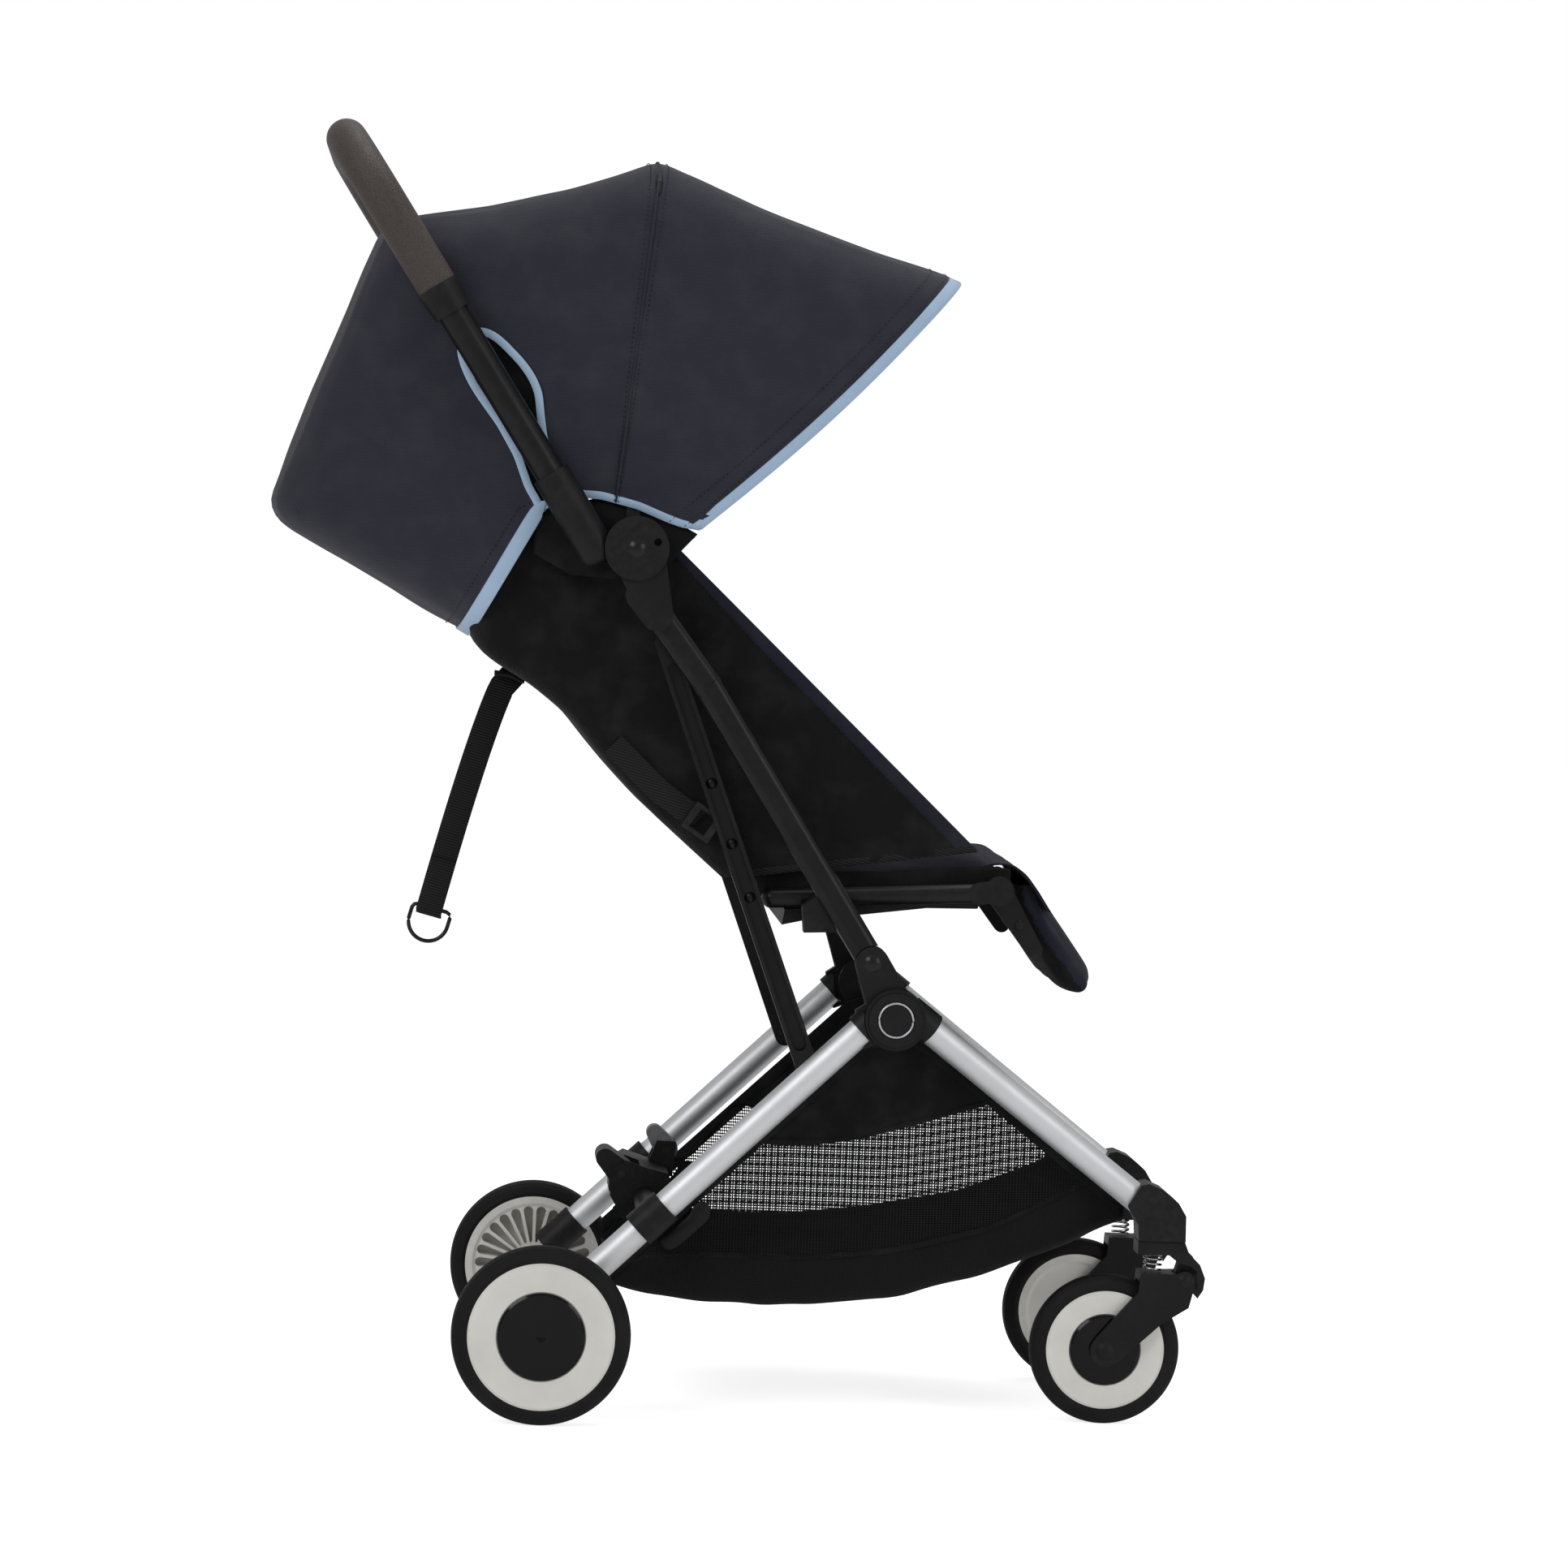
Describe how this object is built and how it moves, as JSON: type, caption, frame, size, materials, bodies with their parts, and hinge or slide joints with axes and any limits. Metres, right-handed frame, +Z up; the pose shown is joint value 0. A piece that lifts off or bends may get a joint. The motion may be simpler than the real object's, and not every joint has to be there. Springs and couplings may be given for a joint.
{
  "type": "baby stroller",
  "caption": "Folding baby stroller with hinged U handle, reclining seat, two-bow canopy, leg rest, shopping basket, sprung casters and foot brake.",
  "frame": {"origin": "centre of the footprint, on the ground", "axes": "+X forward in the direction of travel, +Y to the left, +Z up"},
  "size_m": [0.7972, 0.481, 1.046],
  "materials": {
    "black_metal": "satin black powder coat",
    "silver_tube": "fine satin anodised",
    "black_plastic": "fine matt texture",
    "gloss_black": "polished",
    "grey_plastic": "matt",
    "warm_grey": "matt warm light grey",
    "tyre": "matt foamed rubber",
    "leather": "pebbled imitation leather",
    "navy_fabric": "fine twill",
    "black_fabric": "plain weave",
    "webbing": "ribbed webbing",
    "black_steel": "black finish",
    "bright_steel": "plated"
  },
  "bodies": {
    "front_frame": {"hub_brackets": "black_plastic", "hub_caps": "black_plastic", "hub_pins": "black_steel", "front_legs": "silver_tube", "caster_housings": "black_plastic", "front_crossbar": "black_metal", "basket": "black_fabric"},
    "main_frame": {"main_tubes": "black_metal", "elbow_discs": "black_plastic", "elbow_pins": "black_steel", "seat_frame": "black_metal", "seat_brackets": "black_plastic", "seat_pan": "black_plastic", "seat_cushion": "navy_fabric", "crotch_strap": "webbing", "harness_buckle": "black_plastic", "canopy_rear": "navy_fabric", "ridge_bow": "black_plastic"},
    "backrest": {"backrest_shell": "black_fabric", "backrest_pad": "navy_fabric", "harness_straps": "webbing", "side_wings": "black_fabric", "recline_webbing": "webbing", "recline_buckles": "bright_steel", "pull_strap": "webbing"},
    "strap_ring": {"strap_ring": "black_steel"},
    "leg_rest": {"leg_rest_pad": "navy_fabric", "leg_rest_bars": "black_plastic"},
    "canopy_front": {"canopy_front": "navy_fabric", "front_bow": "black_plastic"},
    "handle": {"handle_tube": "black_metal", "handle_grip": "leather", "handle_collars": "black_plastic", "handle_sleeves": "black_plastic"},
    "rear_frame": {"rear_legs": "silver_tube", "rear_fittings": "black_plastic", "rear_pins": "black_steel", "rear_crossbar": "black_metal", "brake_block": "black_plastic"},
    "struts": {"struts": "black_metal"},
    "brake_pedal": {"brake_pedal": "black_plastic"},
    "release_pedal": {"release_pedal": "grey_plastic"},
    "rear_wheel_left": {"rear_tyre_left": "tyre", "rear_disc_left": "warm_grey", "rear_cap_left": "gloss_black"},
    "caster_left": {"caster_swivel_left": "black_plastic", "caster_spring_left": "bright_steel"},
    "arm_left": {"caster_arm_left": "black_plastic"},
    "front_wheel_left": {"front_tyre_left": "tyre", "front_disc_left": "warm_grey", "front_cap_left": "gloss_black"},
    "rear_wheel_right": {"rear_tyre_right": "tyre", "rear_disc_right": "warm_grey", "rear_cap_right": "gloss_black"},
    "caster_right": {"caster_swivel_right": "black_plastic", "caster_spring_right": "bright_steel"},
    "arm_right": {"caster_arm_right": "black_plastic"},
    "front_wheel_right": {"front_tyre_right": "tyre", "front_disc_right": "warm_grey", "front_cap_right": "gloss_black"}
  },
  "joints": [
    {"name": "frame_fold", "type": "hinge", "parent": "front_frame", "child": "main_frame", "pos_m": [0.108, 0, 0.38], "axis": [0, -1, 0], "range_deg": [0, 53], "deforming": ["seat_cushion"]},
    {"name": "rear_fold", "type": "hinge", "parent": "front_frame", "child": "rear_frame", "pos_m": [0.1285, 0, 0.335], "axis": [0, -1, 0], "range_deg": [0, 65], "deforming": ["basket"]},
    {"name": "strut_fold", "type": "hinge", "parent": "rear_frame", "child": "struts", "pos_m": [0.062, 0, 0.286], "axis": [0, 1, 0], "range_deg": [0, 17]},
    {"name": "handle_fold", "type": "hinge", "parent": "main_frame", "child": "handle", "pos_m": [-0.0965, 0, 0.708], "axis": [0, 1, 0], "range_deg": [0, 150]},
    {"name": "canopy_fold", "type": "hinge", "parent": "main_frame", "child": "canopy_front", "pos_m": [-0.0965, 0, 0.708], "axis": [0, -1, 0], "range_deg": [0, 30], "deforming": ["canopy_front", "canopy_rear"]},
    {"name": "recline", "type": "hinge", "parent": "main_frame", "child": "backrest", "pos_m": [0.004, 0, 0.444], "axis": [0, -1, 0], "range_deg": [0, 25], "deforming": ["side_wings", "recline_webbing"]},
    {"name": "leg_rest_tilt", "type": "hinge", "parent": "main_frame", "child": "leg_rest", "pos_m": [0.212, 0, 0.44], "axis": [0, -1, 0], "range_deg": [0, 50], "deforming": ["leg_rest_pad"]},
    {"name": "ring_swing", "type": "hinge", "parent": "backrest", "child": "strap_ring", "pos_m": [-0.2505, 0, 0.395], "axis": [0.9659, 0, -0.259], "range_deg": [-60, 60]},
    {"name": "brake_press", "type": "hinge", "parent": "rear_frame", "child": "brake_pedal", "pos_m": [-0.083, 0, 0.184], "axis": [0, -1, 0], "range_deg": [0, 12]},
    {"name": "release_press", "type": "hinge", "parent": "rear_frame", "child": "release_pedal", "pos_m": [-0.044, 0, 0.199], "axis": [0, -1, 0], "range_deg": [0, 15]},
    {"name": "rear_wheel_spin_left", "type": "hinge", "parent": "rear_frame", "child": "rear_wheel_left", "pos_m": [-0.149, 0.227, 0.0725], "axis": [0, 1, 0], "continuous": true},
    {"name": "caster_turn_left", "type": "hinge", "parent": "front_frame", "child": "caster_left", "pos_m": [0.3615, 0.1185, 0.1539], "axis": [0, 0, 1], "continuous": true},
    {"name": "suspension_left", "type": "hinge", "parent": "caster_left", "child": "arm_left", "pos_m": [0.382, 0.1185, 0.122], "axis": [0, 1, 0], "range_deg": [0, 8], "stiffness_Nm_per_rad": 8, "springref_deg": -20.05, "deforming": ["caster_spring_left"]},
    {"name": "front_wheel_spin_left", "type": "hinge", "parent": "arm_left", "child": "front_wheel_left", "pos_m": [0.319, 0.1185, 0.062], "axis": [0, 1, 0], "continuous": true},
    {"name": "rear_wheel_spin_right", "type": "hinge", "parent": "rear_frame", "child": "rear_wheel_right", "pos_m": [-0.149, -0.227, 0.0725], "axis": [0, 1, 0], "continuous": true},
    {"name": "caster_turn_right", "type": "hinge", "parent": "front_frame", "child": "caster_right", "pos_m": [0.3615, -0.1185, 0.1539], "axis": [0, 0, 1], "continuous": true},
    {"name": "suspension_right", "type": "hinge", "parent": "caster_right", "child": "arm_right", "pos_m": [0.382, -0.1185, 0.122], "axis": [0, 1, 0], "range_deg": [0, 8], "stiffness_Nm_per_rad": 8, "springref_deg": -20.05, "deforming": ["caster_spring_right"]},
    {"name": "front_wheel_spin_right", "type": "hinge", "parent": "arm_right", "child": "front_wheel_right", "pos_m": [0.319, -0.1185, 0.062], "axis": [0, 1, 0], "continuous": true}
  ],
  "couplings": [
    {"joint": "rear_fold", "follows": "frame_fold", "ratio": 1.218},
    {"joint": "strut_fold", "follows": "frame_fold", "ratio": 0.319}
  ]
}
